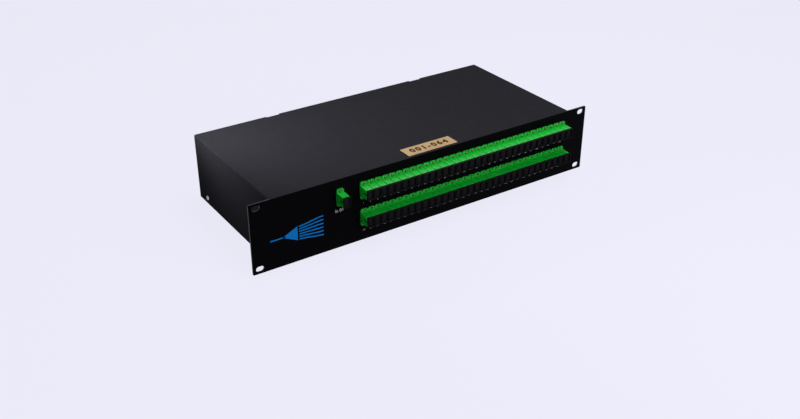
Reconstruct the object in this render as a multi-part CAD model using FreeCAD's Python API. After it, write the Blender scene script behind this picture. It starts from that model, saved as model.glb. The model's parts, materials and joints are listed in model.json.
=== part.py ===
import FreeCAD, Part
import math
import os
from FreeCAD import Vector

# A 2U rack splitter: one fibre goes in at the front left, is split by a planar chip inside, and
# comes out on two rows of 32 angled-polish square connector adapters, each closed by a dust cap.
# Millimetres. X runs along the panel, Y back into the chassis, Z up. The origin is the centre of
# the front panel's front face.

# Front panel: the 19-inch rack standard, two units high, with four rack slots.
PANEL_W = 482.6
PANEL_H = 88.1
PANEL_T = 2.0
PANEL_CORNER = 1.0
RACK_SPACING_X = 465.1
RACK_SPACING_Z = 76.2
RACK_SLOT_L = 10.0
RACK_SLOT_H = 6.8

# Chassis: a folded tray under a folded cover, both of the same sheet.
SHEET = 1.2
BEND_IN = 0.6
CASE_W = 430.0
CASE_BOTTOM = -42.3
CASE_TOP = 42.7
CASE_BACK = 201.0
SIDE_FLANGE_H = 19.0
FRONT_FLANGE_H = 14.0
CORNER_RELIEF = 3.0
FOLD_GAP = 0.2
NOTCH_W = 18.0
NOTCH_DEPTH = 2.0
NOTCH_CENTRES = (-108.0, 110.0)

# Cover screws, two on each side, driven inwards through the cover into the tray.
COVER_SCREW_Y = (26.0, 175.5)
COVER_SCREW_Z = -33.0
COVER_SCREW_R = 1.45
COVER_HEAD_R = 3.25
COVER_HEAD_TOP_R = 2.5
COVER_HEAD_H = 2.0
COVER_SCREW_L = 6.0
COVER_CLEAR_R = 1.7
TAPPED_R = 1.6

# Plate stuck on the cover near its front edge.
PLATE_CENTRE = (5.0, 16.0)
PLATE_W = 70.0
PLATE_D = 20.0
PLATE_T = 0.4

# Adapters: two rows of 32 on one pitch, and the input on its own at the left.
ADAPTER_PITCH = 9.63
PORTS_PER_ROW = 32
PORTS_PER_GROUP = 8
FIRST_PORT_X = -97.6
ROW_Z = (21.5, -13.5)
INPUT_X = -128.6
ADAPTER_W = 9.3
BODY_H = 12.9
FLANGE_H = 21.6
FLANGE_T = 2.0
FLANGE_CORNER = 2.0
FRONT_REACH = 14.7
REAR_REACH = 12.7
MOUTH_W = 7.45
MOUTH_H = 9.05
KEYWAY_W = 2.3
KEYWAY_L = 8.0
CUTOUT_GAP = 0.15

# Input adapter screws and what they go through.
FLANGE_SCREW_Z = 9.0
FLANGE_HOLE_R = 1.1
FLANGE_SCREW_R = 0.95
FLANGE_HEAD_R = 1.5
FLANGE_HEAD_TOP_R = 1.15
FLANGE_HEAD_H = 1.6
FLANGE_SCREW_L = 6.0
PANEL_TAP_R = 1.05

# Inside the input adapter: two latch inserts back to back, with a split sleeve between them.
INSERT_FIT = 0.1
INSERT_T = 1.2
HOLDER_R = 2.3
HOLDER_BORE_R = 1.65
HOLDER_L = 6.2
SLEEVE_R = 1.6
SLEEVE_BORE_R = 1.25
SLEEVE_HALF_L = 5.6
SLEEVE_SPLIT = 0.4
LATCH_W = 3.2
LATCH_LOW = 2.5
LATCH_HIGH = 3.3
LATCH_REACH = 7.5
HOOK_DROP = 0.3
HOOK_L = 0.9

# Dust caps: a square head in front of the mouth and a stem that grips inside it.
CAP_HEAD_W = 9.0
CAP_HEAD_H = 12.4
CAP_PROUD = 2.9
CAP_STEM_W = 7.35
CAP_STEM_H = 8.95
CAP_STEM_L = 8.0
CAP_HOLLOW_W = 7.6
CAP_HOLLOW_H = 10.6
CAP_HOLLOW_DEPTH = 2.4
INNER_HOLLOW_W = 5.4
INNER_HOLLOW_H = 7.0
INNER_HOLLOW_DEPTH = 4.0

# Plugs on the back of the adapters, inside the chassis.
PLUG_W = 7.3
PLUG_H = 8.9
PLUG_START = 2.0
PLUG_END = 31.0
PLUG_NOSE = 0.6
PLUG_HOLLOW_DEPTH = 6.5
FERRULE_R = 1.2
FERRULE_START = 0.2
BOOT_L = 18.0
BOOT_BIG_R = 2.8
BOOT_SMALL_R = 1.3

# Splitter module on the tray's floor, lying along X, and what it holds.
MODULE_X = (-180.0, -120.0)
MODULE_Y = 172.0
MODULE_W = 20.0
MODULE_WALL = 1.0
MODULE_H = 8.0
CHIP_H = 4.0
INPUT_BLOCK_X = (-171.0, -166.0)
CHIP_X = (-166.0, -143.0)
OUTPUT_BLOCK_X = (-143.0, -135.0)
INPUT_BLOCK_W = 3.0
CHIP_W = 9.0
OUTPUT_BLOCK_W = 10.0

# Fibres: one in, eight ribbons out to eight fan-out blocks, and 64 tails to the plugs.
FIBRE_SIZE = 0.9
FIBRE_BEND = 19.0
FIBRE_Z = -38.0
FIBRE_DROP_Y = 80.0
FIBRE_CROSS_Y = 132.0
FIBRE_LOOP_X = -210.0
RIBBON_T = 0.3
RIBBON_H = 2.0
RIBBON_STEP = 0.6
RIBBON_BEND = 15.0
FANOUT_Y = (66.0, 88.0)
FANOUT_W = 20.0
FANOUT_H = 6.0
TAIL_STEP = 2.2
CLIP_L = 8.0
CLIP_WALL = 2.0
CLIP_H = 6.0
CLIP_SLOT_H = 4.6
RIBBON_CLIP_X = (-108.0, 12.0, 128.0)
FIBRE_CLIP_X = -165.0

# Small round details are drawn with flats, all in the same phase, and bends of fibre with chords.
FLATS = 12
BEND_CHORDS = 3

FLOOR_Z = CASE_BOTTOM + SHEET
REAR_WALL_Y = CASE_BACK - SHEET
PORT_GROUPS = 2 * PORTS_PER_ROW // PORTS_PER_GROUP
ROW_MIDDLE_X = FIRST_PORT_X + ADAPTER_PITCH * (PORTS_PER_ROW - 1) / 2
GROUP_PITCH = ADAPTER_PITCH * PORTS_PER_GROUP


def block(x, y, z):
    """Box between the low and high values given on each axis."""
    size = [high - low for low, high in (x, y, z)]
    return Part.makeBox(*size, Vector(x[0], y[0], z[0]))


def centred(middle, size):
    """Low and high value of a stretch around its middle."""
    return middle - size / 2, middle + size / 2


def cylinder(radius, start, end):
    """True cylinder between two points."""
    along = end - start
    return Part.makeCylinder(radius, along.Length, start, along)


def ring(radius, centre, axis):
    """Corners of a regular outline round a horizontal axis."""
    up = Vector(0, 0, 1)
    across = axis.cross(up).normalize()
    points = []
    for step in range(FLATS):
        angle = 2 * math.pi * step / FLATS
        points.append(centre + (across * math.cos(angle) + up * math.sin(angle)) * radius)
    return points


def rod(radius, start, end, end_radius=None):
    """Rod with flats between two points, tapered if it ends at another radius."""
    axis = end - start
    near = ring(radius, start, axis)
    far = ring(end_radius or radius, end, axis)
    outlines = [near, far]
    for corner in range(FLATS):
        outlines.append([near[corner - 1], near[corner], far[corner], far[corner - 1]])
    faces = [Part.Face(Part.makePolygon(points + points[:1])) for points in outlines]
    return Part.makeSolid(Part.makeShell(faces))


def prism(points, depth):
    """Closed polygon pushed out along a vector."""
    outline = Part.makePolygon(points + points[:1])
    return Part.Face(outline).extrude(depth)


def rounded_path(corners, radius):
    """Edges through the corners, with an arc at each corner between the ends."""
    edges = []
    start = corners[0]
    for before, corner, after in zip(corners, corners[1:], corners[2:]):
        into = (corner - before).normalize()
        out = (after - corner).normalize()
        half_turn = into.getAngle(out) / 2
        reach = radius * math.tan(half_turn)
        arc_start = corner - into * reach
        arc_end = corner + out * reach
        inward = (out - into).normalize()
        arc_middle = corner + inward * (radius / math.cos(half_turn) - radius)
        edges.append(Part.LineSegment(start, arc_start).toShape())
        edges.append(Part.Arc(arc_start, arc_middle, arc_end).toShape())
        start = arc_end
    edges.append(Part.LineSegment(start, corners[-1]).toShape())
    return edges


def folded(outer, inner, inner_radius, depth):
    """Bent strip between an outer and an inner path, pushed out along a vector."""
    thickness = (outer[0] - inner[0]).Length
    outside = rounded_path(outer, inner_radius + thickness)
    inside = rounded_path(inner, inner_radius)
    ends = [
        Part.LineSegment(outer[0], inner[0]).toShape(),
        Part.LineSegment(outer[-1], inner[-1]).toShape(),
    ]
    wire = Part.Wire(Part.__sortEdges__(outside + inside + ends))
    return Part.Face(wire).extrude(depth)


def chorded(edges):
    """Points along edges, with each arc between them taken in a few chords."""
    points = [edges[0].Vertexes[0].Point]
    for edge in edges:
        chords = 1 if isinstance(edge.Curve, Part.Line) else BEND_CHORDS
        points += edge.discretize(Number=chords + 1)[1:]
    return points


def corner_edges(plate):
    """The four edges of a plate in the XZ plane that run through its thickness."""
    return [e for e in plate.Edges if abs(e.tangentAt(e.FirstParameter).y) > 0.99]


def screw(seat, inward, head_r, top_r, head_h, shank_r, shank_l):
    """Pan-head screw with its head's underside at the seat and its shank pointing inward."""
    head = rod(top_r, seat - inward * head_h, seat, head_r)
    return head.fuse(rod(shank_r, seat, seat + inward * shank_l))


def port_place(port):
    """X and Z of an output port, counted from 0 along the upper row and then the lower."""
    row, column = divmod(port, PORTS_PER_ROW)
    return FIRST_PORT_X + column * ADAPTER_PITCH, ROW_Z[row]


def front_panel():
    sheet = block(centred(0, PANEL_W), (0, PANEL_T), centred(0, PANEL_H))
    panel = sheet.makeChamfer(PANEL_CORNER, corner_edges(sheet))
    cuts = []
    for x in (-RACK_SPACING_X / 2, RACK_SPACING_X / 2):
        for z in (-RACK_SPACING_Z / 2, RACK_SPACING_Z / 2):
            cuts.append(rack_slot(x, z))
    # The pitch leaves no web between neighbours, so each row stands in one long window.
    row_length = ADAPTER_PITCH * (PORTS_PER_ROW - 1) + ADAPTER_W + 2 * CUTOUT_GAP
    window_h = BODY_H + 2 * CUTOUT_GAP
    for z in ROW_Z:
        cuts.append(block(centred(ROW_MIDDLE_X, row_length), (0, PANEL_T), centred(z, window_h)))
    input_window_w = ADAPTER_W + 2 * CUTOUT_GAP
    input_z = ROW_Z[0]
    cuts.append(block(centred(INPUT_X, input_window_w), (0, PANEL_T), centred(input_z, window_h)))
    for side in (-1, 1):
        z = input_z + side * FLANGE_SCREW_Z
        cuts.append(rod(PANEL_TAP_R, Vector(INPUT_X, 0, z), Vector(INPUT_X, PANEL_T, z)))
    return panel.cut(cuts)


def rack_slot(x, z):
    """Round-ended slot through the panel, long along X."""
    half_run = (RACK_SLOT_L - RACK_SLOT_H) / 2
    radius = RACK_SLOT_H / 2
    slot = block((x - half_run, x + half_run), (0, PANEL_T), (z - radius, z + radius))
    ends = []
    for end_x in (x - half_run, x + half_run):
        ends.append(cylinder(radius, Vector(end_x, 0, z), Vector(end_x, PANEL_T, z)))
    return slot.fuse(ends)


def base_tray():
    """Floor with side flanges, a front flange behind the panel and a full-height rear wall."""
    half_w = CASE_W / 2 - SHEET - FOLD_GAP
    low = CASE_BOTTOM
    wall_top = CASE_TOP - SHEET - FOLD_GAP
    flange_top = low + FRONT_FLANGE_H
    x0 = -(half_w - CORNER_RELIEF)
    lengthwise = folded(
        [
            Vector(x0, PANEL_T, flange_top),
            Vector(x0, PANEL_T, low),
            Vector(x0, CASE_BACK, low),
            Vector(x0, CASE_BACK, wall_top),
        ],
        [
            Vector(x0, PANEL_T + SHEET, flange_top),
            Vector(x0, PANEL_T + SHEET, low + SHEET),
            Vector(x0, CASE_BACK - SHEET, low + SHEET),
            Vector(x0, CASE_BACK - SHEET, wall_top),
        ],
        BEND_IN,
        Vector(-2 * x0, 0, 0),
    )
    y0 = PANEL_T + CORNER_RELIEF
    side_top = low + SIDE_FLANGE_H
    crosswise = folded(
        [
            Vector(-half_w, y0, side_top),
            Vector(-half_w, y0, low),
            Vector(half_w, y0, low),
            Vector(half_w, y0, side_top),
        ],
        [
            Vector(SHEET - half_w, y0, side_top),
            Vector(SHEET - half_w, y0, low + SHEET),
            Vector(half_w - SHEET, y0, low + SHEET),
            Vector(half_w - SHEET, y0, side_top),
        ],
        BEND_IN,
        Vector(0, REAR_WALL_Y - CORNER_RELIEF - y0, 0),
    )
    # Above the corner relief the rear wall fills the width between the cover's sides.
    rear_wall = block(
        (-half_w, half_w),
        (REAR_WALL_Y, CASE_BACK),
        (low + 2 * CORNER_RELIEF, wall_top),
    )
    tray = lengthwise.fuse([crosswise, rear_wall])
    return tray.cut(side_holes(TAPPED_R)).removeSplitter()


def top_cover():
    """Top and both sides in one folded sheet, notched at its rear edge."""
    half_w = CASE_W / 2
    y0 = PANEL_T
    cover = folded(
        [
            Vector(-half_w, y0, CASE_BOTTOM),
            Vector(-half_w, y0, CASE_TOP),
            Vector(half_w, y0, CASE_TOP),
            Vector(half_w, y0, CASE_BOTTOM),
        ],
        [
            Vector(SHEET - half_w, y0, CASE_BOTTOM),
            Vector(SHEET - half_w, y0, CASE_TOP - SHEET),
            Vector(half_w - SHEET, y0, CASE_TOP - SHEET),
            Vector(half_w - SHEET, y0, CASE_BOTTOM),
        ],
        BEND_IN,
        Vector(0, CASE_BACK - y0, 0),
    )
    notches = []
    for x in NOTCH_CENTRES:
        notch_z = (CASE_TOP - SHEET, CASE_TOP)
        notches.append(block(centred(x, NOTCH_W), (CASE_BACK - NOTCH_DEPTH, CASE_BACK), notch_z))
    return cover.cut(notches + side_holes(COVER_CLEAR_R))


def side_holes(radius):
    """Rods across both side walls at the cover screws, to cut the holes with."""
    holes = []
    for side in (-1, 1):
        for y in COVER_SCREW_Y:
            outside = Vector(side * CASE_W / 2, y, COVER_SCREW_Z)
            inside = Vector(side * (CASE_W / 2 - 3 * SHEET), y, COVER_SCREW_Z)
            holes.append(rod(radius, outside, inside))
    return holes


def cover_screws():
    screws = []
    for side in (-1, 1):
        for y in COVER_SCREW_Y:
            seat = Vector(side * CASE_W / 2, y, COVER_SCREW_Z)
            inward = Vector(-side, 0, 0)
            screws.append(
                screw(seat, inward, COVER_HEAD_R, COVER_HEAD_TOP_R, COVER_HEAD_H,
                      COVER_SCREW_R, COVER_SCREW_L)
            )
    return Part.makeCompound(screws)


def label_plate():
    x, y = PLATE_CENTRE
    return block(centred(x, PLATE_W), centred(y, PLATE_D), (CASE_TOP, CASE_TOP + PLATE_T))


def adapter_shell(x, z, flange):
    """Adapter housing round a square passage, with the keyway slot in its left wall."""
    body = block(centred(x, ADAPTER_W), (-FRONT_REACH, REAR_REACH), centred(z, BODY_H))
    mouth = block(centred(x, MOUTH_W), (-FRONT_REACH, REAR_REACH), centred(z, MOUTH_H))
    keyway = block(
        (x - ADAPTER_W / 2, x),
        (-FRONT_REACH, KEYWAY_L - FRONT_REACH),
        centred(z, KEYWAY_W),
    )
    return body.fuse(flange).cut([mouth, keyway]).removeSplitter()


def output_adapter(x, z):
    """Housing of a row adapter. Its flange corners are flats, to keep the rows light."""
    half_w = ADAPTER_W / 2
    half_h = FLANGE_H / 2
    flat = FLANGE_CORNER * (2 - math.sqrt(2))
    outline = []
    for side_x, side_z in ((1, 1), (-1, 1), (-1, -1), (1, -1)):
        on_side = Vector(x + side_x * half_w, -FLANGE_T, z + side_z * (half_h - flat))
        on_end = Vector(x + side_x * (half_w - flat), -FLANGE_T, z + side_z * half_h)
        outline += [on_side, on_end] if side_x == side_z else [on_end, on_side]
    flange = prism(outline, Vector(0, FLANGE_T, 0))
    return adapter_shell(x, z, flange)


def input_adapter():
    """Housing of the input adapter, with round flange corners, screw holes and a lead-in."""
    x, z = INPUT_X, ROW_Z[0]
    plate = block(centred(x, ADAPTER_W), (-FLANGE_T, 0), centred(z, FLANGE_H))
    flange = plate.makeFillet(FLANGE_CORNER, corner_edges(plate))
    holes = []
    for side in (-1, 1):
        hole_z = z + side * FLANGE_SCREW_Z
        holes.append(rod(FLANGE_HOLE_R, Vector(x, -FLANGE_T, hole_z), Vector(x, 0, hole_z)))
    return adapter_shell(x, z, flange.cut(holes))


def dust_cap(x, z):
    """Head with a shallow hollow over most of its front, and the stem behind it."""
    head_y = (-FRONT_REACH - CAP_PROUD, -FRONT_REACH)
    head = block(centred(x, CAP_HEAD_W), head_y, centred(z, CAP_HEAD_H))
    stem_y = (-FRONT_REACH, CAP_STEM_L - FRONT_REACH)
    stem = block(centred(x, CAP_STEM_W), stem_y, centred(z, CAP_STEM_H))
    hollow_y = (head_y[0], head_y[0] + CAP_HOLLOW_DEPTH)
    hollow = block(centred(x, CAP_HOLLOW_W), hollow_y, centred(z, CAP_HOLLOW_H))
    return head.fuse(stem).cut(hollow)


def input_dust_cap():
    """Cap of the input, hollow at both ends: its stem passes over the latch arms."""
    x, z = INPUT_X, ROW_Z[0]
    stem_end = CAP_STEM_L - FRONT_REACH
    inner_y = (stem_end - INNER_HOLLOW_DEPTH, stem_end)
    hollow = block(centred(x, INNER_HOLLOW_W), inner_y, centred(z, INNER_HOLLOW_H))
    return dust_cap(x, z).cut(hollow)


def input_screws():
    screws = []
    for side in (-1, 1):
        seat = Vector(INPUT_X, -FLANGE_T, ROW_Z[0] + side * FLANGE_SCREW_Z)
        screws.append(
            screw(seat, Vector(0, 1, 0), FLANGE_HEAD_R, FLANGE_HEAD_TOP_R, FLANGE_HEAD_H,
                  FLANGE_SCREW_R, FLANGE_SCREW_L)
        )
    return Part.makeCompound(screws)


def latch_insert(facing):
    """Plate across the passage, with the sleeve's holder and two hooked latch arms.

    facing is -1 for the insert that looks out of the front mouth and 1 for the rear one.
    """
    x, z = INPUT_X, ROW_Z[0]
    root = facing * INSERT_T
    plate = block(
        centred(x, MOUTH_W - INSERT_FIT),
        (min(0, root), max(0, root)),
        centred(z, MOUTH_H - INSERT_FIT),
    )
    base = Vector(x, 0, z)
    tip = Vector(x, facing * HOLDER_L, z)
    pieces = [rod(HOLDER_R, base, tip)]
    for side in (-1, 1):
        pieces.append(latch_arm(x, z, facing, side))
    return plate.fuse(pieces).cut(rod(HOLDER_BORE_R, base, tip))


def latch_arm(x, z, facing, side):
    """Arm along Y whose end steps in towards the connector as a hook."""
    end = facing * LATCH_REACH
    hook = facing * (LATCH_REACH - HOOK_L)
    outline = [
        (0, LATCH_LOW),
        (hook, LATCH_LOW),
        (hook, LATCH_LOW - HOOK_DROP),
        (end, LATCH_LOW),
        (end, LATCH_HIGH),
        (0, LATCH_HIGH),
    ]
    points = [Vector(x - LATCH_W / 2, y, z + side * height) for y, height in outline]
    return prism(points, Vector(LATCH_W, 0, 0))


def input_sleeve():
    """Split tube that lines up the two ferrules."""
    x, z = INPUT_X, ROW_Z[0]
    front = Vector(x, -SLEEVE_HALF_L, z)
    back = Vector(x, SLEEVE_HALF_L, z)
    split = block(
        centred(x, SLEEVE_SPLIT), (-SLEEVE_HALF_L, SLEEVE_HALF_L), (z, z + 2 * SLEEVE_R)
    )
    return rod(SLEEVE_R, front, back).cut([rod(SLEEVE_BORE_R, front, back), split])


def rear_plug(x, z):
    """Body of a row plug behind its adapter."""
    return block(centred(x, PLUG_W), (PLUG_START, PLUG_END), centred(z, PLUG_H))


def input_plug():
    """Body of the input plug, open in front where the insert's arms and holder enter."""
    x, z = INPUT_X, ROW_Z[0]
    body = rear_plug(x, z)
    nose = [e for e in body.Edges if e.BoundBox.YMax < PLUG_START + 0.01]
    hollow_y = (PLUG_START, PLUG_START + PLUG_HOLLOW_DEPTH)
    hollow = block(centred(x, INNER_HOLLOW_W), hollow_y, centred(z, INNER_HOLLOW_H))
    return body.makeChamfer(PLUG_NOSE, nose).cut(hollow)


def input_ferrule():
    x, z = INPUT_X, ROW_Z[0]
    seat = PLUG_START + PLUG_HOLLOW_DEPTH
    return rod(FERRULE_R, Vector(x, FERRULE_START, z), Vector(x, seat, z))


def input_boot():
    """Tapered boot that carries the fibre out of the plug."""
    start = Vector(INPUT_X, PLUG_END, ROW_Z[0])
    return rod(BOOT_BIG_R, start, start + Vector(0, BOOT_L, 0), BOOT_SMALL_R)


def input_fibre():
    """Single fibre from the boot down to the floor, round the corner and into the module."""
    x = INPUT_X
    start = Vector(x, PLUG_END + BOOT_L, ROW_Z[0])
    corners = [
        start,
        Vector(x, FIBRE_DROP_Y, ROW_Z[0]),
        Vector(x, FIBRE_DROP_Y, FIBRE_Z),
        Vector(x, FIBRE_CROSS_Y, FIBRE_Z),
        Vector(FIBRE_LOOP_X, FIBRE_CROSS_Y, FIBRE_Z),
        Vector(FIBRE_LOOP_X, MODULE_Y, FIBRE_Z),
        Vector(INPUT_BLOCK_X[0], MODULE_Y, FIBRE_Z),
    ]
    path = Part.makePolygon(chorded(rounded_path(corners, FIBRE_BEND)))
    half = FIBRE_SIZE / 2
    around = ((-half, -half), (half, -half), (half, half), (-half, half))
    points = [start + Vector(dx, 0, dz) for dx, dz in around]
    section = Part.makePolygon(points + points[:1])
    mitred = 1
    return path.makePipeShell([section], True, False, mitred)


def splitter_case():
    """Open box on the tray's floor, slotted at each end for the fibres."""
    outer_y = centred(MODULE_Y, MODULE_W)
    rim = FLOOR_Z + MODULE_H - MODULE_WALL
    case = block(MODULE_X, outer_y, (FLOOR_Z, rim))
    inner_x = (MODULE_X[0] + MODULE_WALL, MODULE_X[1] - MODULE_WALL)
    inner_y = centred(MODULE_Y, MODULE_W - 2 * MODULE_WALL)
    cavity = block(inner_x, inner_y, (FLOOR_Z + MODULE_WALL, rim))
    slot_z = (FIBRE_Z - RIBBON_H, rim)
    in_slot = block((MODULE_X[0], inner_x[0]), centred(MODULE_Y, 2 * FIBRE_SIZE), slot_z)
    out_slot = block((inner_x[1], MODULE_X[1]), centred(MODULE_Y, OUTPUT_BLOCK_W), slot_z)
    return case.cut([cavity, in_slot, out_slot])


def splitter_lid():
    top = FLOOR_Z + MODULE_H
    return block(MODULE_X, centred(MODULE_Y, MODULE_W), (top - MODULE_WALL, top))


def module_block(x, width):
    """Glass block of the optical chain, bedded on the module's floor."""
    low = FLOOR_Z + MODULE_WALL
    return block(x, centred(MODULE_Y, width), (low, low + CHIP_H))


def fanout_x(group):
    """Middle of a group's fan-out block: upper-row groups sit left of lower-row ones."""
    row, place = divmod(group, PORT_GROUPS // 2)
    return ROW_MIDDLE_X + (place - 1.5) * GROUP_PITCH + (row - 0.5) * GROUP_PITCH / 2


def fanout_blocks():
    blocks = []
    for group in range(PORT_GROUPS):
        x = centred(fanout_x(group), FANOUT_W)
        blocks.append(block(x, FANOUT_Y, (FLOOR_Z, FLOOR_Z + FANOUT_H)))
    return Part.makeCompound(blocks)


def output_ribbons():
    """Ribbons on edge, nested so that the one that goes furthest lies furthest back."""
    ribbons = []
    for lane, x in enumerate(sorted(map(fanout_x, range(PORT_GROUPS)))):
        y = MODULE_Y + (lane - (PORT_GROUPS - 1) / 2) * RIBBON_STEP
        z = FIBRE_Z - RIBBON_H / 2
        half = RIBBON_T / 2
        sides = []
        for offset in (half, -half):
            corners = [
                Vector(OUTPUT_BLOCK_X[1], y + offset, z),
                Vector(x + offset, y + offset, z),
                Vector(x + offset, FANOUT_Y[1], z),
            ]
            sides.append(chorded(rounded_path(corners, RIBBON_BEND + offset)))
        ribbons.append(prism(sides[0] + sides[1][::-1], Vector(0, 0, RIBBON_H)))
    return Part.makeCompound(ribbons)


def output_tails(row):
    """Fibres from the fan-out blocks up to the plugs of one row."""
    tails = []
    half = FIBRE_SIZE / 2
    for column in range(PORTS_PER_ROW):
        x, z = port_place(row * PORTS_PER_ROW + column)
        place, step = divmod(column, PORTS_PER_GROUP)
        end_x = fanout_x(row * PORT_GROUPS // 2 + place)
        end_x += (step - (PORTS_PER_GROUP - 1) / 2) * TAIL_STEP
        run = Vector(end_x - x, FANOUT_Y[0] - PLUG_END, FIBRE_Z - z)
        around = ((-half, -half), (half, -half), (half, half), (-half, half))
        section = [Vector(x + dx, PLUG_END, z + dz) for dx, dz in around]
        tails.append(prism(section, run))
    return Part.makeCompound(tails)


def fibre_clip(x, y, gap):
    """Saddle stuck to the floor over whatever runs along X at this place."""
    saddle = block(
        centred(x, CLIP_L), centred(y, gap + 2 * CLIP_WALL), (FLOOR_Z, FLOOR_Z + CLIP_H)
    )
    slot = block(centred(x, CLIP_L), centred(y, gap), (FLOOR_Z, FLOOR_Z + CLIP_SLOT_H))
    return saddle.cut(slot)


def fibre_clips():
    ribbon_gap = (PORT_GROUPS + 1) * RIBBON_STEP
    clips = [fibre_clip(x, MODULE_Y, ribbon_gap) for x in RIBBON_CLIP_X]
    clips.append(fibre_clip(FIBRE_CLIP_X, FIBRE_CROSS_Y, 2 * FIBRE_SIZE))
    return Part.makeCompound(clips)


def port_group(make, group):
    """One piece made at each of a group's eight ports."""
    first = group * PORTS_PER_GROUP
    pieces = [make(*port_place(port)) for port in range(first, first + PORTS_PER_GROUP)]
    return Part.makeCompound(pieces)


def assembly():
    """Every node of the model, by name."""
    nodes = {
        "front_panel": front_panel(),
        "base_tray": base_tray(),
        "top_cover": top_cover(),
        "cover_screws": cover_screws(),
        "label_plate": label_plate(),
        "input_adapter": input_adapter(),
        "input_screws": input_screws(),
        "input_insert_front": latch_insert(-1),
        "input_insert_rear": latch_insert(1),
        "input_sleeve": input_sleeve(),
        "input_dust_cap": input_dust_cap(),
        "input_plug": input_plug(),
        "input_ferrule": input_ferrule(),
        "input_boot": input_boot(),
        "input_fibre": input_fibre(),
        "splitter_case": splitter_case(),
        "splitter_lid": splitter_lid(),
        "input_fibre_block": module_block(INPUT_BLOCK_X, INPUT_BLOCK_W),
        "splitter_chip": module_block(CHIP_X, CHIP_W),
        "output_fibre_block": module_block(OUTPUT_BLOCK_X, OUTPUT_BLOCK_W),
        "output_ribbons": output_ribbons(),
        "fanout_blocks": fanout_blocks(),
        "output_tails_upper": output_tails(0),
        "output_tails_lower": output_tails(1),
        "fibre_clips": fibre_clips(),
    }
    for group in range(PORT_GROUPS):
        first = group * PORTS_PER_GROUP + 1
        ports = f"{first:02d}_{first + PORTS_PER_GROUP - 1:02d}"
        nodes[f"output_adapters_{ports}"] = port_group(output_adapter, group)
        nodes[f"dust_caps_{ports}"] = port_group(dust_cap, group)
        nodes[f"rear_plugs_{ports}"] = port_group(rear_plug, group)
    return nodes


os.makedirs("parts", exist_ok=True)
for name, shape in assembly().items():
    shape.exportStep(f"parts/{name}.step")
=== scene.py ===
"""Looks of the rack-mount fibre splitter: finishes, soft edges, screws, print, light and camera."""

import json
import math

import bmesh
import bpy
from mathutils import Matrix, Vector

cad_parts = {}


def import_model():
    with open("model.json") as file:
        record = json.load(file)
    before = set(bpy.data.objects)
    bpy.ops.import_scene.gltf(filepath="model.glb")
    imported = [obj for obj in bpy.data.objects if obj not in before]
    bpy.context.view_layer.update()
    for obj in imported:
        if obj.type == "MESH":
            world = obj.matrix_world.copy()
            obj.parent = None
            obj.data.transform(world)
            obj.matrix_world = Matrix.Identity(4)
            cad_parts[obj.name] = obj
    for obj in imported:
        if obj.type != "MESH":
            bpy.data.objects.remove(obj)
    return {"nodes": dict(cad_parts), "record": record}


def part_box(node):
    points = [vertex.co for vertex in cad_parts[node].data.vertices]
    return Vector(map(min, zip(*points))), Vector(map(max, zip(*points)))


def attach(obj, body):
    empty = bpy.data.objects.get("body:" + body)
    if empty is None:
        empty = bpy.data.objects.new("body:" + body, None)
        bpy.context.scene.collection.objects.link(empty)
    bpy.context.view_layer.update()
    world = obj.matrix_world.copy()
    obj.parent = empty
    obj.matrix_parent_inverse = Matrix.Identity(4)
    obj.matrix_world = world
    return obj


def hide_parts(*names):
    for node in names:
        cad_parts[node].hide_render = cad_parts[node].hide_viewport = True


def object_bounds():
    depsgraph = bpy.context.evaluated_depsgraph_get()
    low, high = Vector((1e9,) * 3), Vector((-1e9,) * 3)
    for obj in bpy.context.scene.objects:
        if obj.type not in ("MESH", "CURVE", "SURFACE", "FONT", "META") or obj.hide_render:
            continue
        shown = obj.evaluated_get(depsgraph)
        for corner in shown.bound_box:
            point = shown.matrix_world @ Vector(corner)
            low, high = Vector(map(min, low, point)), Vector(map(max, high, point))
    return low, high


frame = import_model()
CAD_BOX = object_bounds()
MM = 0.001

# All lengths below are in millimetres, apart from those of the camera, the floor and the lamps.

# Ports: two rows of 32 on one pitch, and the input.
ADAPTER_PITCH = 9.63
PORTS_PER_ROW = 32
PORTS_PER_GROUP = 8
FIRST_PORT_X = -97.6
ROW_Z = (21.5, -13.5)
INPUT_X = -128.6
BODY_H = 12.9
FLANGE_SCREW_Z = 9.0
FLANGE_FACE_Y = -2.0

# Flange screws.
FLANGE_HEAD_R = 1.3
FLANGE_HEAD_H = 1.7
FLANGE_SHANK_R = 0.95
FLANGE_SHANK_L = 2.0

# Dust caps: a head with a shallow hollow over most of its front, and a stem open at its end.
HOUSING_FRONT_Y = -14.7
CAP_HEAD = (9.0, 12.4)
CAP_PROUD = 2.9
CAP_STEM = (7.35, 8.95)
CAP_STEM_L = 8.0
CAP_MOUTH = (7.9, 10.9)
CAP_POCKET = (7.4, 10.4)
CAP_DEPTH = 2.5
CAP_SOCKET = (5.4, 7.0)
CAP_SOCKET_L = 4.0
CAP_EDGE = 0.25
CORNER_STEPS = 4

# Cover screws, two on each side.
COVER_SIDE_X = 215.0
COVER_SCREW_Y = (26.0, 175.5)
COVER_SCREW_Z = -33.0
COVER_HEAD_R = 2.9
COVER_HEAD_H = 1.9
COVER_SHANK_R = 1.45
COVER_SHANK_L = 6.0

# Pan head, from its crown to its seat: shares of its radius and of its height.
PAN_PROFILE = ((0.0, 1.0), (0.55, 0.97), (0.82, 0.8), (0.96, 0.48), (1.0, 0.12), (0.98, 0.0))
SCREW_STEPS = 32

# Cross recess: shares of the head's radius and height, and how far it widens or narrows.
RECESS_REACH = 0.55
RECESS_HALF_W = 0.11
RECESS_TOP = 1.3
RECESS_TOP_SCALE = 1.1
RECESS_FLOOR = 0.35
RECESS_FLOOR_SCALE = 0.45

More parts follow.
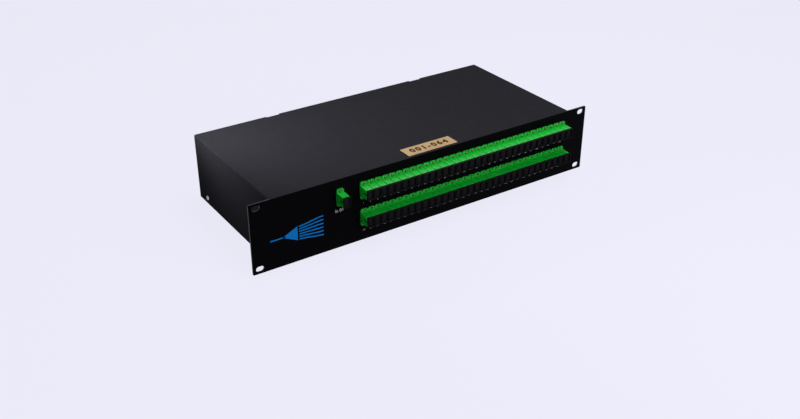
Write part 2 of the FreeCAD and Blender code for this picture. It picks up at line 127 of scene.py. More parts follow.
# Print, which stands a hair proud of what it is on. Figures are a fixed share of the font's size.
PRINT_T = 0.04
FIGURE_SHARE = 0.72
NUMBER_H = 2.4
NUMBER_Z = (4.0, -31.3)
NUMBER_BOLD = -0.04
INPUT_WORD = "In 01"
INPUT_WORD_H = 4.2
INPUT_WORD_X = INPUT_X - 1.0
INPUT_WORD_Z = 4.2

# Sign for a splitter at the left of the panel.
MARK_LEFT = -218.0
MARK_TIP = -203.0
MARK_BASE = -184.0
MARK_RIGHT = -151.0
MARK_Z = -8.0
MARK_BASE_H = 18.0
MARK_H = 24.0
MARK_LINES = 6
MARK_LINE_W = 1.6
MARK_STEM_OVERLAP = 4.0
MARK_GAP = 2.0
BRANCH_STEPS = 16

# Figures on the cover's plate.
PLATE_TEXT = "001-064"
PLATE_TEXT_H = 9.0
PLATE_TEXT_BOLD = 0.6
PLATE_TEXT_SPACING = 1.32

# Rounded edges. In degrees: an edge that turns by more than EDGE_ANGLE is rounded, faces that lie
# within FLAT_ANGLE of each other are one face, and an edge above SMOOTH_ANGLE keeps its corner.
SHEET_EDGE = 0.22
MOULDED_EDGE = 0.3
HOUSING_EDGE = 1.3
PLATE_EDGE = 0.12
EDGE_STEPS = 2
HOUSING_STEPS = 4
EDGE_ANGLE = 40
FLAT_ANGLE = 0.5
SMOOTH_ANGLE = 35
CAP_SMOOTH_ANGLE = 30

# Points closer than WELD are one point. Points within ON_FACE of a face's plane lie on it.
WELD = 0.001
ON_FACE = 0.02

# A face whose normal leans this much towards the front or the back is a face of the panel's sheet.
FACES_FRONT = 0.9

# Noise patterns: where one starts and stops counting, and how fine each is, in cycles a metre.
PATTERN_LOW = 0.3
PATTERN_HIGH = 0.7
FLOW = 110
MOTTLE = 150
HAZE = 400
SPREAD = 900
PEEL = 1400
STREAKS = 1500
SCREEN = 1600
GRAIN = 2200

# Depth of each relief.
PEEL_DEPTH = 0.025
GRAIN_DEPTH = 0.012
FINE_DEPTH = 0.006

# How far a pattern lightens or darkens a colour.
PALER = 1.12
STREAK_DARK = 0.82
INK_THIN = 0.86
INK_ROUGHNESS = 0.45

# Camera, in metres, with its lens and its sensor in millimetres.
CAMERA_AT = (-0.6220, -0.8623, 0.5581)
CAMERA_LOOK = (0.48440, 0.72661, -0.48724)
CAMERA_LENS = 45.08
SENSOR_W = 36.0

# Floor and surroundings, in metres: pale to look at, and dull as a source of light.
PALE = (0.839, 0.831, 0.947, 1.0)
FLOOR_DULL = (0.12, 0.12, 0.13, 1.0)
FLOOR_GLOW = 0.95
FLOOR_SIZE = 12.0
FLOOR_DROP = 0.00002
WORLD_TINT = (0.95, 0.95, 1.0, 1.0)
WORLD_LIGHT = 0.18

# Area lamps, in metres: name, place, target, size and watts.
SOFTBOXES = (
    ("key", (0.25, 0.15, 1.4), (0.05, 0.05, 0.04), (0.8, 0.6), 15),
    ("front", (0.35, -0.80, 0.47), (0.0, 0.0, 0.0), (0.3, 0.25), 5.4),
    ("left", (-0.75, -0.80, 0.35), (0.0, -0.01, 0.0), (0.5, 0.5), 2.1),
)

# Spotlight beyond the cover's rear left corner, in metres, degrees and watts.
SPOT_AT = (-0.345, 0.236, 0.167)
SPOT_TARGET = (0.2, -0.01, 0.043)
SPOT_ANGLE = 87
SPOT_RADIUS = 0.015
SPOT_POWER = 9.3


# ---------------------------------------------------------------- node helpers


def new_material(name):
    """Material with an empty Principled shader, its node tree and the shader."""
    material = bpy.data.materials.new(name)
    material.use_nodes = True
    tree = material.node_tree
    shader = tree.nodes["Principled BSDF"]
    return material, tree, shader


def noise(tree, scale, detail, stretch=(1, 1, 1)):
    """Noise in the piece's own coordinates, in cycles a metre."""
    place = tree.nodes.new("ShaderNodeTexCoord")
    mapping = tree.nodes.new("ShaderNodeMapping")
    mapping.inputs["Scale"].default_value = stretch
    texture = tree.nodes.new("ShaderNodeTexNoise")
    texture.inputs["Scale"].default_value = scale
    texture.inputs["Detail"].default_value = detail
    tree.links.new(place.outputs["Object"], mapping.inputs["Vector"])
    tree.links.new(mapping.outputs["Vector"], texture.inputs["Vector"])
    return texture.outputs["Fac"]


def ranged(tree, pattern, low, high):
    """Maps a pattern onto a range."""
    mapped = tree.nodes.new("ShaderNodeMapRange")
    mapped.inputs["From Min"].default_value = PATTERN_LOW
    mapped.inputs["From Max"].default_value = PATTERN_HIGH
    mapped.inputs["To Min"].default_value = low
    mapped.inputs["To Max"].default_value = high
    tree.links.new(pattern, mapped.inputs["Value"])
    return mapped.outputs["Result"]


def tinted(tree, pattern, dark, light):
    """Colour between two tints, by a pattern."""
    ramp = tree.nodes.new("ShaderNodeValToRGB")
    first, last = ramp.color_ramp.elements
    first.position = PATTERN_LOW
    first.color = (*dark, 1.0)
    last.position = PATTERN_HIGH
    last.color = (*light, 1.0)
    tree.links.new(pattern, ramp.inputs["Fac"])
    return ramp.outputs["Color"]


def bumped(tree, shader, height, distance_mm):
    """Fine relief from a height pattern."""
    bump = tree.nodes.new("ShaderNodeBump")
    bump.inputs["Strength"].default_value = 1.0
    bump.inputs["Distance"].default_value = distance_mm * MM
    tree.links.new(height, bump.inputs["Height"])
    tree.links.new(bump.outputs["Normal"], shader.inputs["Normal"])


def powder_coat(name, color, gloss, roughness):
    """Baked powder: orange-peel relief, faint mottling and slightly uneven gloss."""
    material, tree, shader = new_material(name)
    lighter = tuple(PALER * channel for channel in color)
    mottle = noise(tree, MOTTLE, detail=4.0)
    tree.links.new(tinted(tree, mottle, color, lighter), shader.inputs["Base Color"])
    spread = noise(tree, SPREAD, detail=2.0)
    low, high = roughness - 0.05, roughness + 0.06
    tree.links.new(ranged(tree, spread, low, high), shader.inputs["Roughness"])
    shader.inputs["Specular IOR Level"].default_value = gloss
    bumped(tree, shader, noise(tree, PEEL, detail=2.0), PEEL_DEPTH)
    return material


def moulded(name, color, roughness, gloss=0.5, glow=0.0, texture_mm=GRAIN_DEPTH):
    """Injection-moulded plastic: slight flow shading and a soft satin grain."""
    material, tree, shader = new_material(name)
    lighter = tuple(min(1.0, PALER * channel + 0.001) for channel in color)
    flow = noise(tree, FLOW, detail=2.0, stretch=(1, 0.4, 1))
    tree.links.new(tinted(tree, flow, color, lighter), shader.inputs["Base Color"])
    grain = noise(tree, GRAIN, detail=2.0)
    low, high = roughness - 0.04, roughness + 0.05
    tree.links.new(ranged(tree, grain, low, high), shader.inputs["Roughness"])
    shader.inputs["Specular IOR Level"].default_value = gloss
    shader.inputs["Subsurface Weight"].default_value = glow
    shader.inputs["Subsurface Radius"].default_value = (0.2, 1.0, 0.3)
    shader.inputs["Subsurface Scale"].default_value = 1.0 * MM
    bumped(tree, shader, grain, texture_mm)
    return material


def plated(name, color, roughness, lay=(1, 1, 1)):
    """Plated or brushed metal with uneven polish."""
    material, tree, shader = new_material(name)
    darker = tuple(STREAK_DARK * channel for channel in color)
    streaks = noise(tree, STREAKS, detail=3.0, stretch=lay)
    tree.links.new(tinted(tree, streaks, darker, color), shader.inputs["Base Color"])
    low, high = roughness - 0.08, roughness + 0.1
    tree.links.new(ranged(tree, streaks, low, high), shader.inputs["Roughness"])
    shader.inputs["Metallic"].default_value = 1.0
    bumped(tree, shader, streaks, FINE_DEPTH)
    return material


def ink(name, color, gloss=0.12):
    """Screen-print ink: nearly even, thin where the mesh starved it."""
    material, tree, shader = new_material(name)
    thin = tuple(INK_THIN * channel for channel in color)
    cover = noise(tree, SCREEN, detail=2.0)
    tree.links.new(tinted(tree, cover, thin, color), shader.inputs["Base Color"])
    shader.inputs["Roughness"].default_value = INK_ROUGHNESS
    shader.inputs["Specular IOR Level"].default_value = gloss
    bumped(tree, shader, cover, FINE_DEPTH)
    return material


def silica(name):
    """Pale glass block."""
    material, tree, shader = new_material(name)
    shader.inputs["Base Color"].default_value = (0.80, 0.86, 0.88, 1.0)
    shader.inputs["Transmission Weight"].default_value = 0.85
    haze = noise(tree, HAZE, detail=2.0)
    tree.links.new(ranged(tree, haze, 0.05, 0.16), shader.inputs["Roughness"])
    return material


FINISHES = {
    "panel_black": powder_coat("panel_black", (0.0015, 0.0015, 0.0019), gloss=0.012, roughness=0.4),
    "case_black": powder_coat("case_black", (0.0150, 0.0145, 0.0175), gloss=0.0015, roughness=0.5),
    "adapter_green": moulded(
        "adapter_green", (0.003, 0.322, 0.022), roughness=0.33, gloss=0.2, glow=0.1
    ),
    "cap_black": moulded("cap_black", (0.0066, 0.0066, 0.0076), roughness=0.5, gloss=0.03),
    "insert_white": moulded("insert_white", (0.62, 0.62, 0.58), roughness=0.4),
    "ceramic_white": moulded("ceramic_white", (0.80, 0.80, 0.76), roughness=0.2),
    "plug_green": moulded("plug_green", (0.004, 0.33, 0.03), roughness=0.36),
    "fibre_jacket": moulded("fibre_jacket", (0.78, 0.76, 0.62), roughness=0.5),
    "fanout_black": moulded("fanout_black", (0.02, 0.02, 0.02), roughness=0.5),
    "screw_steel": plated("screw_steel", (0.42, 0.39, 0.35), 0.28),
    "screw_brass": plated("screw_brass", (0.22, 0.208, 0.085), 0.2),
    "module_steel": plated("module_steel", (0.56, 0.56, 0.58), 0.3, lay=(0.05, 1, 1)),
    "optical_glass": silica("optical_glass"),
    "plate_tan": moulded(
        "plate_tan", (0.298, 0.203, 0.102), roughness=0.5, gloss=0.1, texture_mm=0.008
    ),
}
# Paler, glossier coat for the panel's cut edges at the ears: a painted highlight where they catch
# the light.
EAR_EDGE_HIGHLIGHT = powder_coat("ear_edge_painted_highlight", (0.019, 0.0185, 0.022), gloss=0.08, roughness=0.3)
INKS = {
    "white": ink("print_white", (0.49, 0.50, 0.54)),
    "blue": ink("print_blue", (0.002, 0.185, 0.60)),
    "dark": ink("print_dark", (0.032, 0.013, 0.004), gloss=0.02),
}


def wear_finishes():
    """Gives every CAD node the finish of its material slot."""
    slots = {part["node"]: part["material_slot"] for part in frame["record"]["subparts"]}
    for name, node in frame["nodes"].items():
        node.data.materials.clear()
        node.data.materials.append(FINISHES[slots[name]])


# ---------------------------------------------------------------- mesh helpers


def cleaned(node):
    """The CAD node's mesh with its flat faces whole again, as a bmesh."""
    bm = bmesh.new()
    bm.from_mesh(frame["nodes"][node].data)
    bm.transform(frame["nodes"][node].matrix_world)
    bmesh.ops.remove_doubles(bm, verts=bm.verts, dist=WELD * MM)
    bmesh.ops.dissolve_limit(
        bm, angle_limit=math.radians(FLAT_ANGLE), verts=bm.verts, edges=bm.edges
    )
    return bm


def mesh_of(name, bm, smooth_angle=SMOOTH_ANGLE):
    """Turns a bmesh into a smooth-shaded mesh with its corners kept sharp."""
    mesh = bpy.data.meshes.new(name)
    bm.to_mesh(mesh)
    bm.free()
    mesh.polygons.foreach_set("use_smooth", [True] * len(mesh.polygons))
    mesh.set_sharp_from_angle(angle=math.radians(smooth_angle))
    return mesh


def shown(name, mesh, material):
    """Adds a mesh to the scene as a piece with one finish."""
    mesh.materials.clear()
    mesh.materials.append(material)
    piece = bpy.data.objects.new(name, mesh)
    bpy.context.collection.objects.link(piece)
    return piece


def baked(piece):
    """The piece's mesh with its modifiers applied. The piece itself is removed."""
    graph = bpy.context.evaluated_depsgraph_get()
    mesh = bpy.data.meshes.new_from_object(piece.evaluated_get(graph))
    bpy.data.objects.remove(piece)
    return mesh


def softened(name, bm, width_mm):
    """Mesh with every sharp edge rounded off."""
    piece = shown(name, mesh_of(name, bm), FINISHES["case_black"])
    bevel = piece.modifiers.new("edges", "BEVEL")
    bevel.width = width_mm * MM
    bevel.segments = EDGE_STEPS
    bevel.limit_method = "ANGLE"
    bevel.angle_limit = math.radians(EDGE_ANGLE)
    bevel.harden_normals = True
    mesh = baked(piece)
    mesh.name = name
    return mesh


def bridge(bm, near, far):
    """Adds the faces between two closed loops of points."""
    for i in range(len(near)):
        bm.faces.new((near[i], near[i - 1], far[i - 1], far[i]))


def add_copy(bm, mesh, matrix):
    """Adds a copy of a mesh, moved by a matrix."""
    start = len(bm.verts)
    bm.from_mesh(mesh)
    bm.verts.ensure_lookup_table()
    bmesh.ops.transform(bm, matrix=matrix, verts=bm.verts[start:])


def repeated(name, mesh, places):
    """One mesh made of copies of another, each moved to its place."""
    bm = bmesh.new()
    for place in places:
        add_copy(bm, mesh, Matrix.Translation(place))
    return mesh_of(name, bm)


def stand_in(piece, body, slot, *nodes):
    """Lets a piece ride a body and stand for CAD nodes. The slot argument is not used."""
    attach(piece, body)
    if nodes:
        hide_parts(*nodes)


# ---------------------------------------------------------------- sheet metal


def sheet_metal():
    """Panel, cover and tray with the coat's rounded edges."""
    panel = cleaned("front_panel")
    part_at_ears(panel)
    # The panel's cut edges get painted highlights, paler than its face.
    paint_edge_highlights(coated("front_panel", panel, "panel_black"))
    for node in ("top_cover", "base_tray"):
        coated(node, cleaned(node), "case_black")


def coated(node, sheet, slot):
    """Shows a sheet in place of its CAD node, and gives back its mesh."""
    mesh = softened(f"{node}_coated", sheet, SHEET_EDGE)
    piece = shown(f"{node}_coated", mesh, FINISHES[slot])
    stand_in(piece, "chassis", slot, node)
    return mesh


def part_at_ears(bm):
    """Splits the panel's faces where its ears leave the cover."""
    for side in (-1, 1):
        bmesh.ops.bisect_plane(
            bm,
            geom=bm.verts[:] + bm.edges[:] + bm.faces[:],
            plane_co=(side * COVER_SIDE_X * MM, 0, 0),
            plane_no=(1, 0, 0),
        )


def paint_edge_highlights(mesh):
    """Paints highlights on the panel's cut edges: they take the coat of the case, and a paler,
    glossier one at the ears.
    """
    mesh.materials.append(FINISHES["case_black"])
    mesh.materials.append(EAR_EDGE_HIGHLIGHT)
    for face in mesh.polygons:
        if abs(face.normal.y) < FACES_FRONT:
            at_ear = abs(face.center.x) > COVER_SIDE_X * MM
            face.material_index = 2 if at_ear else 1


# ---------------------------------------------------------------- adapters and caps


def port_place(port):
    """X and Z of an output port in millimetres, counted from 0 along the rows."""
    row, column = divmod(port, PORTS_PER_ROW)
    return FIRST_PORT_X + column * ADAPTER_PITCH, ROW_Z[row]


def from_input(port):
    """How far an output port lies from the input, in metres."""
    x, z = port_place(port)
    return Vector((x - INPUT_X, 0, z - ROW_Z[0])) * MM


def port_groups():
    """Name ending and ports of each group of eight."""
    for first in range(0, 2 * PORTS_PER_ROW, PORTS_PER_GROUP):
        ports = range(first, first + PORTS_PER_GROUP)
        yield f"{first + 1:02d}_{first + PORTS_PER_GROUP:02d}", ports


def round_long_edges(bm):
    """Rounds the four long edges of the input adapter's body."""
    low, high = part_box("input_adapter")
    centre = (Vector(low) + Vector(high)) / 2
    half_w = (high[0] - low[0]) / 2
    half_h = BODY_H * MM / 2

    def on_side(vert):
        return abs(abs(vert.co.x - centre.x) - half_w) < ON_FACE * MM

    def on_end(vert):
        return abs(abs(vert.co.z - centre.z) - half_h) < ON_FACE * MM

    long_edges = []
    for edge in bm.edges:
        along = edge.verts[1].co - edge.verts[0].co
        if abs(along.y) > MM and all(on_side(v) and on_end(v) for v in edge.verts):
            long_edges.append(edge)
    bmesh.ops.bevel(
        bm,
        geom=long_edges,
        offset=HOUSING_EDGE * MM,
        segments=HOUSING_STEPS,
        profile=0.5,
        affect="EDGES",
        clamp_overlap=True,
    )


def adapters():
    """Housings with round flange corners and softened edges, at the input and every output."""
    whole = cleaned("input_adapter")
    round_long_edges(whole)
    housing = softened("housing", whole, MOULDED_EDGE)
    green = FINISHES["adapter_green"]
    for ending, ports in port_groups():
        name = f"adapter_housings_{ending}"
        piece = shown(name, repeated(name, housing, map(from_input, ports)), green)
        stand_in(piece, "chassis", "adapter_green", f"output_adapters_{ending}")
    piece = shown("input_adapter_housing", housing, green)
    stand_in(piece, "chassis", "adapter_green", "input_adapter")


def rounded_loop(bm, size, y, radius):
    """Points round a rectangle with round corners, centred on the input's axis."""
    half_w, half_h = size[0] / 2 - radius, size[1] / 2 - radius
    loop = []
    for quarter, (side_x, side_z) in enumerate(((1, 1), (-1, 1), (-1, -1), (1, -1))):
        for step in range(CORNER_STEPS + 1):
            turn = (quarter + step / CORNER_STEPS) * math.pi / 2
            x = INPUT_X + side_x * half_w + radius * math.cos(turn)
            z = ROW_Z[0] + side_z * half_h + radius * math.sin(turn)
            loop.append(bm.verts.new(Vector((x, y, z)) * MM))
    return loop


def cap_mesh():
    """The input's cap: hollow stem, head with rounded edges, and a pocket that narrows a little."""
    front = HOUSING_FRONT_Y - CAP_PROUD
    stem_end = HOUSING_FRONT_Y + CAP_STEM_L

    def less(size, by):
        return size[0] - 2 * by, size[1] - 2 * by

    # Width and height, Y and corner radius, from the stem's socket round to the pocket's floor.
    sections = [
        (CAP_SOCKET, stem_end - CAP_SOCKET_L, 0.3),
        (CAP_SOCKET, stem_end, 0.3),
        (less(CAP_STEM, CAP_EDGE), stem_end, 0.3),
        (CAP_STEM, stem_end - CAP_EDGE, 0.4),
        (CAP_STEM, HOUSING_FRONT_Y, 0.4),
        (CAP_HEAD, HOUSING_FRONT_Y, 0.7),
        (CAP_HEAD, front + CAP_EDGE, 0.7),
        (less(CAP_HEAD, 0.3 * CAP_EDGE), front + 0.3 * CAP_EDGE, 0.7),
        (less(CAP_HEAD, CAP_EDGE), front, 0.6),
        (CAP_MOUTH, front, 0.5),
        (less(CAP_MOUTH, 0.1), front + 0.1, 0.5),
        (CAP_POCKET, front + CAP_DEPTH, 0.4),
    ]
    bm = bmesh.new()
    loops = [rounded_loop(bm, *section) for section in sections]
    for near, far in zip(loops, loops[1:]):
        bridge(bm, near, far)
    bm.faces.new(loops[0])
    bm.faces.new(loops[-1])
    bmesh.ops.recalc_face_normals(bm, faces=bm.faces)
    return mesh_of("cap", bm, CAP_SMOOTH_ANGLE)


def dust_caps():
    """Caps on every port. The input's own one rides its joint."""
    cap = cap_mesh()
    black = FINISHES["cap_black"]
    for ending, ports in port_groups():
        name = f"adapter_caps_{ending}"
        piece = shown(name, repeated(name, cap, map(from_input, ports)), black)
        stand_in(piece, "chassis", "cap_black", f"dust_caps_{ending}")
    piece = shown("input_cap", cap, black)
    stand_in(piece, "input_cap", "cap_black", "input_dust_cap")


# ---------------------------------------------------------------- screws


def pan_head(name, radius, height, shank_r, shank_l):
    """Cross-recessed pan-head screw at the origin, its shank along +Y and its head at -Y."""
    profile = [(across * radius, -up * height) for across, up in PAN_PROFILE]
    profile += [(shank_r, 0.0), (shank_r, shank_l), (0.0, shank_l)]
    bm = bmesh.new()
    points = [bm.verts.new((across * MM, along * MM, 0)) for across, along in profile]
    edges = [bm.edges.new(pair) for pair in zip(points, points[1:])]
    bmesh.ops.spin(
        bm,
        geom=points + edges,
        axis=(0, 1, 0),
        cent=(0, 0, 0),
        angle=math.tau,
        steps=SCREW_STEPS,
    )
    bmesh.ops.remove_doubles(bm, verts=bm.verts, dist=WELD * MM)
    bmesh.ops.recalc_face_normals(bm, faces=bm.faces)
    head = shown(name, mesh_of(name, bm), FINISHES["screw_steel"])
    recess = shown(f"{name}_recess", cross_recess(radius, height), FINISHES["screw_steel"])
    cut = head.modifiers.new("recess", "BOOLEAN")
    cut.operation = "DIFFERENCE"
    cut.object = recess
    mesh = baked(head)
    bpy.data.objects.remove(recess)
    mesh.set_sharp_from_angle(angle=math.radians(SMOOTH_ANGLE))
    return mesh


def cross_recess(radius, height):
    """Tapered cross that sinks into the head's top."""
    reach, half_w = RECESS_REACH * radius, RECESS_HALF_W * radius
    outline = []
    for quarter in range(4):
        turn = Matrix.Rotation(quarter * math.pi / 2, 2)
        for corner in ((reach, half_w), (half_w, half_w), (half_w, reach)):
            outline.append(turn @ Vector(corner))
    bm = bmesh.new()
    rings = []
    for share, scale in ((RECESS_TOP, RECESS_TOP_SCALE), (RECESS_FLOOR, RECESS_FLOOR_SCALE)):
        y = -share * height * MM
        rings.append([bm.verts.new((x * scale * MM, y, z * scale * MM)) for x, z in outline])
    bm.faces.new(rings[0])
    bm.faces.new(rings[1])
    bridge(bm, *rings)
    bmesh.ops.recalc_face_normals(bm, faces=bm.faces)
    return mesh_of("recess", bm)


def adapter_screws():
    """Yellow-plated screws through every flange, above and below the body."""
    screw = pan_head(
        "flange_screw", FLANGE_HEAD_R, FLANGE_HEAD_H, FLANGE_SHANK_R, FLANGE_SHANK_L
    )
    brass = FINISHES["screw_brass"]
    sides = (FLANGE_SCREW_Z, -FLANGE_SCREW_Z)
    for ending, ports in port_groups():
        places = []
        for port in ports:
            x, z = port_place(port)
            places += [Vector((x, FLANGE_FACE_Y, z + side)) * MM for side in sides]
        name = f"flange_screws_{ending}"
        stand_in(shown(name, repeated(name, screw, places), brass), "chassis", "screw_brass")
    places = [Vector((INPUT_X, FLANGE_FACE_Y, ROW_Z[0] + side)) * MM for side in sides]
    piece = shown("input_flange_screws", repeated("input_flange_screws", screw, places), brass)
    stand_in(piece, "chassis", "screw_brass", "input_screws")


def cover_screws():
    """Bright screws low on both sides of the cover."""
    screw = pan_head("cover_screw", COVER_HEAD_R, COVER_HEAD_H, COVER_SHANK_R, COVER_SHANK_L)
    bm = bmesh.new()
    for side in (-1, 1):
        turn = Matrix.Rotation(side * math.pi / 2, 4, "Z")
        for y in COVER_SCREW_Y:
            seat = Matrix.Translation(Vector((side * COVER_SIDE_X, y, COVER_SCREW_Z)) * MM)
            add_copy(bm, screw, seat @ turn)
    piece = shown("cover_screw_set", mesh_of("cover_screw_set", bm), FINISHES["screw_steel"])
    stand_in(piece, "chassis", "screw_steel", "cover_screws")


# ---------------------------------------------------------------- print and plate


def lettering(text, height_mm, bold_mm=0.0, spacing=1.0):
    """Flat mesh of plain figures of a given height, centred on the origin in the XY plane."""
    curve = bpy.data.curves.new("lettering", "FONT")
    curve.body = text
    curve.offset = bold_mm * MM
    curve.space_character = spacing
    curve.align_x = "CENTER"
    curve.align_y = "CENTER"
    curve.size = height_mm * MM / FIGURE_SHARE
    curve.extrude = PRINT_T * MM / 2
    curve.resolution_u = 3
    holder = bpy.data.objects.new("lettering", curve)
    bpy.context.collection.objects.link(holder)
    return baked(holder)


def printed(name, texts, height_mm, color, bold_mm=0.0):
    """Print on the panel's front face. texts is a list of (words, x, z)."""
    bm = bmesh.new()
    upright = Matrix.Rotation(math.pi / 2, 4, "X")
    for text, x, z in texts:
        place = Matrix.Translation(Vector((x, -PRINT_T / 2, z)) * MM)
        add_copy(bm, lettering(text, height_mm, bold_mm), place @ upright)
    piece = shown(name, mesh_of(name, bm), INKS[color])
    stand_in(piece, "chassis", "panel_black")


def port_print():
    """Port numbers under the adapters and a plain word under the input."""
    for row, label in enumerate(("upper", "lower")):
        texts = []
        for column in range(PORTS_PER_ROW):
            port = row * PORTS_PER_ROW + column
            texts.append((str(port + 1), port_place(port)[0], NUMBER_Z[row]))
        printed(f"port_numbers_{label}", texts, NUMBER_H, "white", NUMBER_BOLD)
    printed("input_word", [(INPUT_WORD, INPUT_WORD_X, INPUT_WORD_Z)], INPUT_WORD_H, "white")


def fan_out_mark():
    """Plain blue sign for a splitter: one line in, a wedge, and its branches out."""
    bm = bmesh.new()
    stem_end = MARK_TIP + MARK_STEM_OVERLAP
    stroke(bm, [Vector((MARK_LEFT, 0, MARK_Z)), Vector((stem_end, 0, MARK_Z))])
    wedge(bm)
    for line in range(MARK_LINES):
        share = line / (MARK_LINES - 1) - 0.5
        inner_h = MARK_BASE_H - MARK_LINE_W
        stroke(bm, branch(MARK_Z + share * inner_h, MARK_Z + share * MARK_H))
    piece = shown("fan_out_mark", mesh_of("fan_out_mark", bm), INKS["blue"])
    stand_in(piece, "chassis", "panel_black")


def wedge(bm):
    """Flat triangle that widens from the line in to the branches."""
    half = MARK_BASE_H / 2
    outline = ((MARK_TIP, MARK_Z), (MARK_BASE, MARK_Z - half), (MARK_BASE, MARK_Z + half))
    rings = []
    for y in (0, -PRINT_T):
        rings.append([bm.verts.new(Vector((x, y, z)) * MM) for x, z in outline])
    bm.faces.new(rings[0])
    bm.faces.new(rings[1])
    bridge(bm, *rings)
    bmesh.ops.recalc_face_normals(bm, faces=bm.faces)


def branch(start_z, end_z):
    """Points of one branch: it leaves the wedge level and flares out."""
    start_x = MARK_BASE + MARK_GAP
    points = []
    for step in range(BRANCH_STEPS + 1):
        along = step / BRANCH_STEPS
        ease = along * along * (3 - 2 * along)
        x = start_x + (MARK_RIGHT - start_x) * along
        points.append(Vector((x, 0, start_z + (end_z - start_z) * ease)))
    return points


def stroke(bm, points):
    """Flat band of one width along points on the panel."""
    sides = []
    for here, after in zip(points, points[1:] + [2 * points[-1] - points[-2]]):
        along = (after - here).normalized()
        across = Vector((-along.z, 0, along.x)) * MARK_LINE_W / 2
        for height in (0, -PRINT_T):
            lift = Vector((0, height, 0))
            sides.append(bm.verts.new((here + across + lift) * MM))
            sides.append(bm.verts.new((here - across + lift) * MM))
    for step in range(len(points) - 1):
        a = sides[4 * step:4 * step + 4]
        b = sides[4 * step + 4:4 * step + 8]
        bm.faces.new((a[2], a[3], b[3], b[2]))
        bm.faces.new((a[0], b[0], b[1], a[1]))
        bm.faces.new((a[0], a[2], b[2], b[0]))
        bm.faces.new((a[1], b[1], b[3], a[3]))
    for end in (sides[:4], sides[-4:]):
        bm.faces.new((end[0], end[1], end[3], end[2]))
    bmesh.ops.recalc_face_normals(bm, faces=bm.faces)


def cover_plate():
    """Tan plate on the cover, with the port range in plain figures."""
    blank = softened("cover_plate", cleaned("label_plate"), PLATE_EDGE)
    plate = shown("cover_plate", blank, FINISHES["plate_tan"])
    stand_in(plate, "chassis", "plate_tan", "label_plate")
    low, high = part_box("label_plate")
    middle = (Vector(low) + Vector(high)) / 2
    mesh = lettering(PLATE_TEXT, PLATE_TEXT_H, PLATE_TEXT_BOLD, PLATE_TEXT_SPACING)
    mesh.transform(Matrix.Translation((middle.x, middle.y, high[2] + PRINT_T * MM / 2)))
    stand_in(shown("plate_figures", mesh, INKS["dark"]), "chassis", "plate_tan")


# ---------------------------------------------------------------- stage


def floor_material():
    """Floor that looks pale and still takes a shadow, but throws little light back."""
    material, tree, _ = new_material("floor_pale")
    tree.nodes.clear()
    rays = tree.nodes.new("ShaderNodeLightPath")
    seen = seen_directly(tree, rays)
    pale = tree.nodes.new("ShaderNodeBsdfDiffuse")
    pale.inputs["Color"].default_value = PALE
    glow = tree.nodes.new("ShaderNodeEmission")
    glow.inputs["Color"].default_value = PALE
    glow.inputs["Strength"].default_value = 1.0
    looks = tree.nodes.new("ShaderNodeMixShader")
    looks.inputs["Fac"].default_value = FLOOR_GLOW
    tree.links.new(pale.outputs[0], looks.inputs[1])
    tree.links.new(glow.outputs[0], looks.inputs[2])
    dull = tree.nodes.new("ShaderNodeBsdfDiffuse")
    dull.inputs["Color"].default_value = FLOOR_DULL
    mix = tree.nodes.new("ShaderNodeMixShader")
    tree.links.new(seen, mix.inputs["Fac"])
    tree.links.new(dull.outputs[0], mix.inputs[1])
    tree.links.new(looks.outputs[0], mix.inputs[2])
    output = tree.nodes.new("ShaderNodeOutputMaterial")
    tree.links.new(mix.outputs[0], output.inputs["Surface"])
    return material


def seen_directly(tree, rays):
    """1 for camera, glossy and transmission rays, else 0."""
    total = rays.outputs["Is Camera Ray"]
    for kind in ("Is Glossy Ray", "Is Transmission Ray"):
        either = tree.nodes.new("ShaderNodeMath")
        either.operation = "MAXIMUM"
        tree.links.new(total, either.inputs[0])
        tree.links.new(rays.outputs[kind], either.inputs[1])
        total = either.outputs[0]
    return total


def floor():
    """Large square floor, a hair below the chassis."""
    half = FLOOR_SIZE / 2
    low = CAD_BOX[0][2] - FLOOR_DROP
    bm = bmesh.new()
    corners = ((-half, -half), (half, -half), (half, half), (-half, half))
    bm.faces.new([bm.verts.new((x, y, low)) for x, y in corners])
    shown("floor", mesh_of("floor", bm), floor_material())


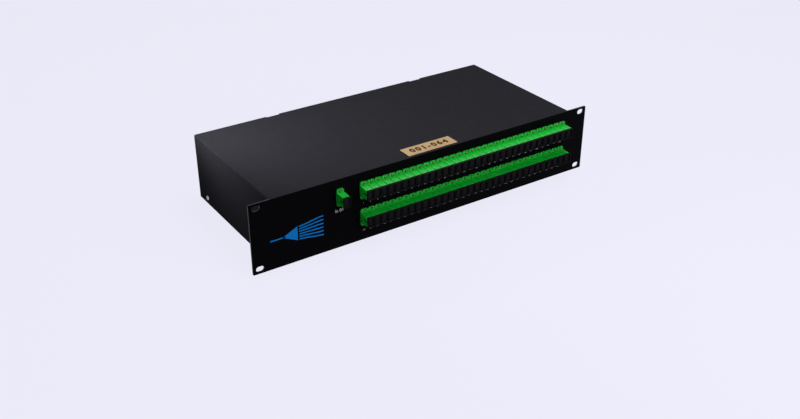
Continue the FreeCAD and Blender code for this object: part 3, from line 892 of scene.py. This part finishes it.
def world():
    """Pale surroundings, plain light from all round."""
    surroundings = bpy.data.worlds.new("studio")
    surroundings.use_nodes = True
    bpy.context.scene.world = surroundings
    tree = surroundings.node_tree
    light = tree.nodes["Background"]
    light.inputs["Color"].default_value = WORLD_TINT
    light.inputs["Strength"].default_value = WORLD_LIGHT
    backdrop = tree.nodes.new("ShaderNodeBackground")
    backdrop.inputs["Color"].default_value = PALE
    backdrop.inputs["Strength"].default_value = 1.0
    rays = tree.nodes.new("ShaderNodeLightPath")
    mix = tree.nodes.new("ShaderNodeMixShader")
    tree.links.new(seen_directly(tree, rays), mix.inputs["Fac"])
    tree.links.new(light.outputs[0], mix.inputs[1])
    tree.links.new(backdrop.outputs[0], mix.inputs[2])
    tree.links.new(mix.outputs[0], tree.nodes["World Output"].inputs["Surface"])


def aimed(name, lamp, place, target):
    """Puts a lamp at a place and turns it to a target."""
    holder = bpy.data.objects.new(name, lamp)
    bpy.context.collection.objects.link(holder)
    holder.location = place
    aim = Vector(target) - Vector(place)
    holder.rotation_euler = aim.to_track_quat("-Z", "Y").to_euler()
    return holder


def softbox(name, place, target, size, power):
    """Rectangular area lamp aimed at a point."""
    lamp = bpy.data.lights.new(name, "AREA")
    lamp.shape = "RECTANGLE"
    lamp.size, lamp.size_y = size
    lamp.energy = power
    aimed(name, lamp, place, target)


def spotlight():
    """Soft-edged spotlight across the cover from its rear left corner, without glare."""
    lamp = bpy.data.lights.new("shoulder", "SPOT")
    lamp.spot_size = math.radians(SPOT_ANGLE)
    lamp.spot_blend = 1.0
    lamp.shadow_soft_size = SPOT_RADIUS
    lamp.energy = SPOT_POWER
    holder = aimed("shoulder", lamp, SPOT_AT, SPOT_TARGET)
    holder.visible_camera = False
    holder.visible_glossy = False


def lights():
    """An overhead key, a front light from the right, a weak one from the left, and a near spot."""
    for box in SOFTBOXES:
        softbox(*box)
    spotlight()


def camera():
    """Camera that looks down on the front left corner."""
    lens = bpy.data.cameras.new("camera")
    lens.lens = CAMERA_LENS
    lens.sensor_width = SENSOR_W
    lens.sensor_fit = "HORIZONTAL"
    holder = bpy.data.objects.new("camera", lens)
    bpy.context.collection.objects.link(holder)
    holder.location = CAMERA_AT
    holder.rotation_euler = Vector(CAMERA_LOOK).to_track_quat("-Z", "Y").to_euler()
    bpy.context.scene.camera = holder


bpy.context.scene.view_settings.view_transform = "Standard"
camera()
wear_finishes()
sheet_metal()
adapters()
dust_caps()
adapter_screws()
cover_screws()
port_print()
fan_out_mark()
cover_plate()
floor()
world()
lights()
